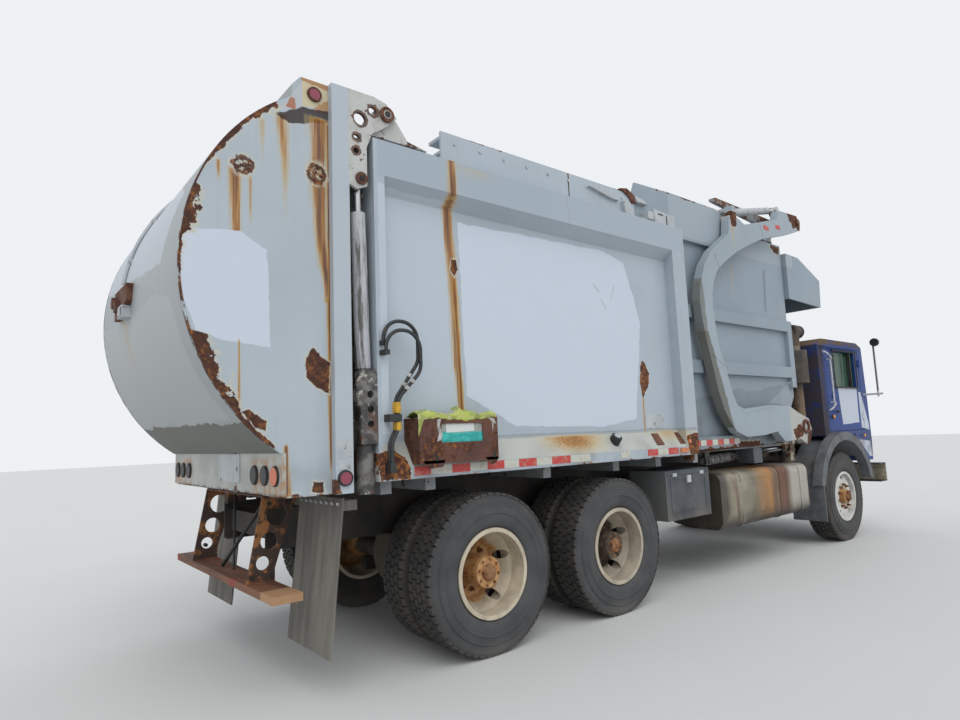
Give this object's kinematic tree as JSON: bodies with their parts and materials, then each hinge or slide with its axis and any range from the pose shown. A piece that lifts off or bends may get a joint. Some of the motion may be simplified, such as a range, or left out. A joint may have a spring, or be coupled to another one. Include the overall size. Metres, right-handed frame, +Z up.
{
  "type": "front-loading refuse truck",
  "caption": "Cab-forward refuse truck with a sheet body, bulged lifting tailgate, curved lift arms and forks folded back over the hopper.",
  "frame": {"origin": "centre of the bounding box on the ground under the tyres", "axes": "+X forward, +Y to the driver's left, +Z up"},
  "size_m": [9.255, 2.7658, 4.17],
  "materials": {
    "body_paint": "faded pale blue-grey paint with primer patches and rust streaks",
    "body_paint_dark": "dirty grey paint",
    "black_frame": "dull black paint with road dirt",
    "cast_axle": "dirty casting",
    "engine_iron": "dirty casting",
    "tank_aluminium": "stained sheet",
    "box_plastic": "dusty",
    "worn_steel": "worn paint",
    "rusty_steel": "rusted paint",
    "lamp_red": "lens",
    "lamp_amber": "lens",
    "cylinder_paint": "dirty pale paint",
    "rod_chrome": "polished",
    "cab_paint": "blue gloss",
    "glass": "tinted",
    "cab_trim": "grained",
    "fender_rubber": "dusty black",
    "mirror_black": "black",
    "hose_rubber": "dull black",
    "cleaner_grey": "dirty grey paint",
    "flap_rubber": "dusty",
    "kit_fabric": "coated cloth",
    "rim_white": "white paint",
    "rim_cream": "dirty cream paint",
    "tyre": "rubber"
  },
  "bodies": {
    "truck": {"chassis_frame": "black_frame", "front_axle": "cast_axle", "rear_axles": "cast_axle", "suspension": "black_frame", "engine_and_gearbox": "engine_iron", "fuel_tank": "tank_aluminium", "equipment_boxes": "box_plastic", "front_bumper": "black_frame", "body_floor": "body_paint_dark", "subframe": "black_frame", "body_sides": "body_paint", "body_roof": "body_paint", "hopper_sides": "body_paint", "hopper_top_sides": "body_paint", "hopper_front": "body_paint", "body_brackets": "black_frame", "hydraulic_hoses": "hose_rubber", "cab_shell": "cab_paint", "cab_lamps": "lamp_amber", "cab_glass": "glass", "cab_interior": "cab_trim", "front_fenders": "fender_rubber", "mirrors": "mirror_black", "air_cleaner": "cleaner_grey", "rear_step": "rusty_steel", "mudflaps": "flap_rubber", "spill_kit_holder": "rusty_steel", "spill_kit_bag": "kit_fabric"},
    "knuckle_left": {"knuckle_left": "cast_axle"},
    "wheel_front_left": {"tyre_front_left": "tyre", "rim_front_left": "rim_white"},
    "wheels_rear_left": {"tyres_rear_left": "tyre", "rims_rear_left": "rim_cream"},
    "wheels_mid_left": {"tyres_mid_left": "tyre", "rims_mid_left": "rim_cream"},
    "door_left": {"door_left": "cab_paint", "door_glass_left": "glass"},
    "knuckle_right": {"knuckle_right": "cast_axle"},
    "wheel_front_right": {"tyre_front_right": "tyre", "rim_front_right": "rim_white"},
    "wheels_rear_right": {"tyres_rear_right": "tyre", "rims_rear_right": "rim_cream"},
    "wheels_mid_right": {"tyres_mid_right": "tyre", "rims_mid_right": "rim_cream"},
    "door_right": {"door_right": "cab_paint", "door_glass_right": "glass"},
    "tailgate": {"tailgate_shell": "body_paint", "tailgate_frame": "body_paint", "camera_box": "rusty_steel", "tail_lamps": "lamp_red"},
    "lift_arms": {"lift_arms": "body_paint"},
    "forks": {"fork_carriage": "worn_steel"},
    "top_door": {"top_door": "body_paint"},
    "packer_panel": {"packer_panel": "worn_steel"},
    "tailgate_cylinder_barrels": {"tailgate_cylinder_barrels": "cylinder_paint"},
    "tailgate_cylinder_rods": {"tailgate_cylinder_rods": "rod_chrome"},
    "lift_cylinder_barrels": {"lift_cylinder_barrels": "cylinder_paint"},
    "lift_cylinder_rods": {"lift_cylinder_rods": "rod_chrome"},
    "fork_cylinder_barrels": {"fork_cylinder_barrels": "cylinder_paint"},
    "fork_cylinder_rods": {"fork_cylinder_rods": "rod_chrome"}
  },
  "joints": [
    {"name": "steer_left", "type": "hinge", "parent": "truck", "child": "knuckle_left", "pos_m": [3.2375, 0.92, 0.54], "axis": [0, 0, 1], "range_deg": [-30, 30]},
    {"name": "roll_front_left", "type": "hinge", "parent": "knuckle_left", "child": "wheel_front_left", "pos_m": [3.2375, 1.05, 0.54], "axis": [0, 1, 0], "continuous": true},
    {"name": "roll_rear_left", "type": "hinge", "parent": "truck", "child": "wheels_rear_left", "pos_m": [-2.5425, 0.916, 0.54], "axis": [0, 1, 0], "continuous": true},
    {"name": "roll_mid_left", "type": "hinge", "parent": "truck", "child": "wheels_mid_left", "pos_m": [-1.2025, 0.916, 0.54], "axis": [0, 1, 0], "continuous": true},
    {"name": "door_left_hinge", "type": "hinge", "parent": "truck", "child": "door_left", "pos_m": [4.2905, 1.112, 1.8], "axis": [0, 0, -1], "range_deg": [0, 70]},
    {"name": "steer_right", "type": "hinge", "parent": "truck", "child": "knuckle_right", "pos_m": [3.2375, -0.92, 0.54], "axis": [0, 0, 1], "range_deg": [-30, 30]},
    {"name": "roll_front_right", "type": "hinge", "parent": "knuckle_right", "child": "wheel_front_right", "pos_m": [3.2375, -1.05, 0.54], "axis": [0, 1, 0], "continuous": true},
    {"name": "roll_rear_right", "type": "hinge", "parent": "truck", "child": "wheels_rear_right", "pos_m": [-2.5425, -0.916, 0.54], "axis": [0, 1, 0], "continuous": true},
    {"name": "roll_mid_right", "type": "hinge", "parent": "truck", "child": "wheels_mid_right", "pos_m": [-1.2025, -0.916, 0.54], "axis": [0, 1, 0], "continuous": true},
    {"name": "door_right_hinge", "type": "hinge", "parent": "truck", "child": "door_right", "pos_m": [4.2905, -1.112, 1.8], "axis": [0, 0, 1], "range_deg": [0, 70]},
    {"name": "tailgate_hinge", "type": "hinge", "parent": "truck", "child": "tailgate", "pos_m": [-3.3225, 0, 3.59], "axis": [0, 1, 0], "range_deg": [0, 85]},
    {"name": "arm_lift", "type": "hinge", "parent": "truck", "child": "lift_arms", "pos_m": [2.2575, 0, 1.36], "axis": [0, 1, 0], "range_deg": [0, 98]},
    {"name": "fork_tilt", "type": "hinge", "parent": "lift_arms", "child": "forks", "pos_m": [2.5575, 0, 3.95], "axis": [0, 1, 0], "range_deg": [0, 95]},
    {"name": "top_door_slide", "type": "slide", "parent": "truck", "child": "top_door", "axis": [-1, 0, 0], "range_m": [0, 1.98]},
    {"name": "packer_slide", "type": "slide", "parent": "truck", "child": "packer_panel", "axis": [-1, 0, 0], "range_m": [0, 1.4]},
    {"name": "tailgate_cylinder_swing", "type": "hinge", "parent": "truck", "child": "tailgate_cylinder_barrels", "pos_m": [-3.4925, 0, 1.87], "axis": [0, 1, 0], "range_deg": [-8.72, 0]},
    {"name": "tailgate_cylinder_stroke", "type": "slide", "parent": "tailgate_cylinder_barrels", "child": "tailgate_cylinder_rods", "axis": [-0.0202, 0, 0.9998], "range_m": [0, 0.6605]},
    {"name": "lift_cylinder_swing", "type": "hinge", "parent": "truck", "child": "lift_cylinder_barrels", "pos_m": [0.7575, 0, 1.11], "axis": [0, 1, 0], "range_deg": [-0.45737, 0]},
    {"name": "lift_cylinder_stroke", "type": "slide", "parent": "lift_cylinder_barrels", "child": "lift_cylinder_rods", "axis": [0.9992, 0, 0.0408], "range_m": [-0.42278, 0]},
    {"name": "fork_cylinder_swing", "type": "hinge", "parent": "lift_arms", "child": "fork_cylinder_barrels", "pos_m": [1.0475, 0, 3.83], "axis": [0, 1, 0], "range_deg": [0, 2.33]},
    {"name": "fork_cylinder_stroke", "type": "slide", "parent": "fork_cylinder_barrels", "child": "fork_cylinder_rods", "axis": [0.9764, 0, 0.2161], "range_m": [0, 0.38246]}
  ],
  "couplings": [
    {"joint": "steer_right", "follows": "steer_left", "ratio": 1},
    {"joint": "tailgate_cylinder_swing", "follows": "tailgate_hinge", "ratio": -0.10232},
    {"joint": "tailgate_cylinder_stroke", "follows": "tailgate_hinge", "m_per_rad": 0.44502},
    {"joint": "lift_cylinder_swing", "follows": "arm_lift", "ratio": -0.004463},
    {"joint": "lift_cylinder_stroke", "follows": "arm_lift", "m_per_rad": -0.24701},
    {"joint": "fork_cylinder_swing", "follows": "fork_tilt", "ratio": 0.024328},
    {"joint": "fork_cylinder_stroke", "follows": "fork_tilt", "m_per_rad": 0.23049}
  ]
}
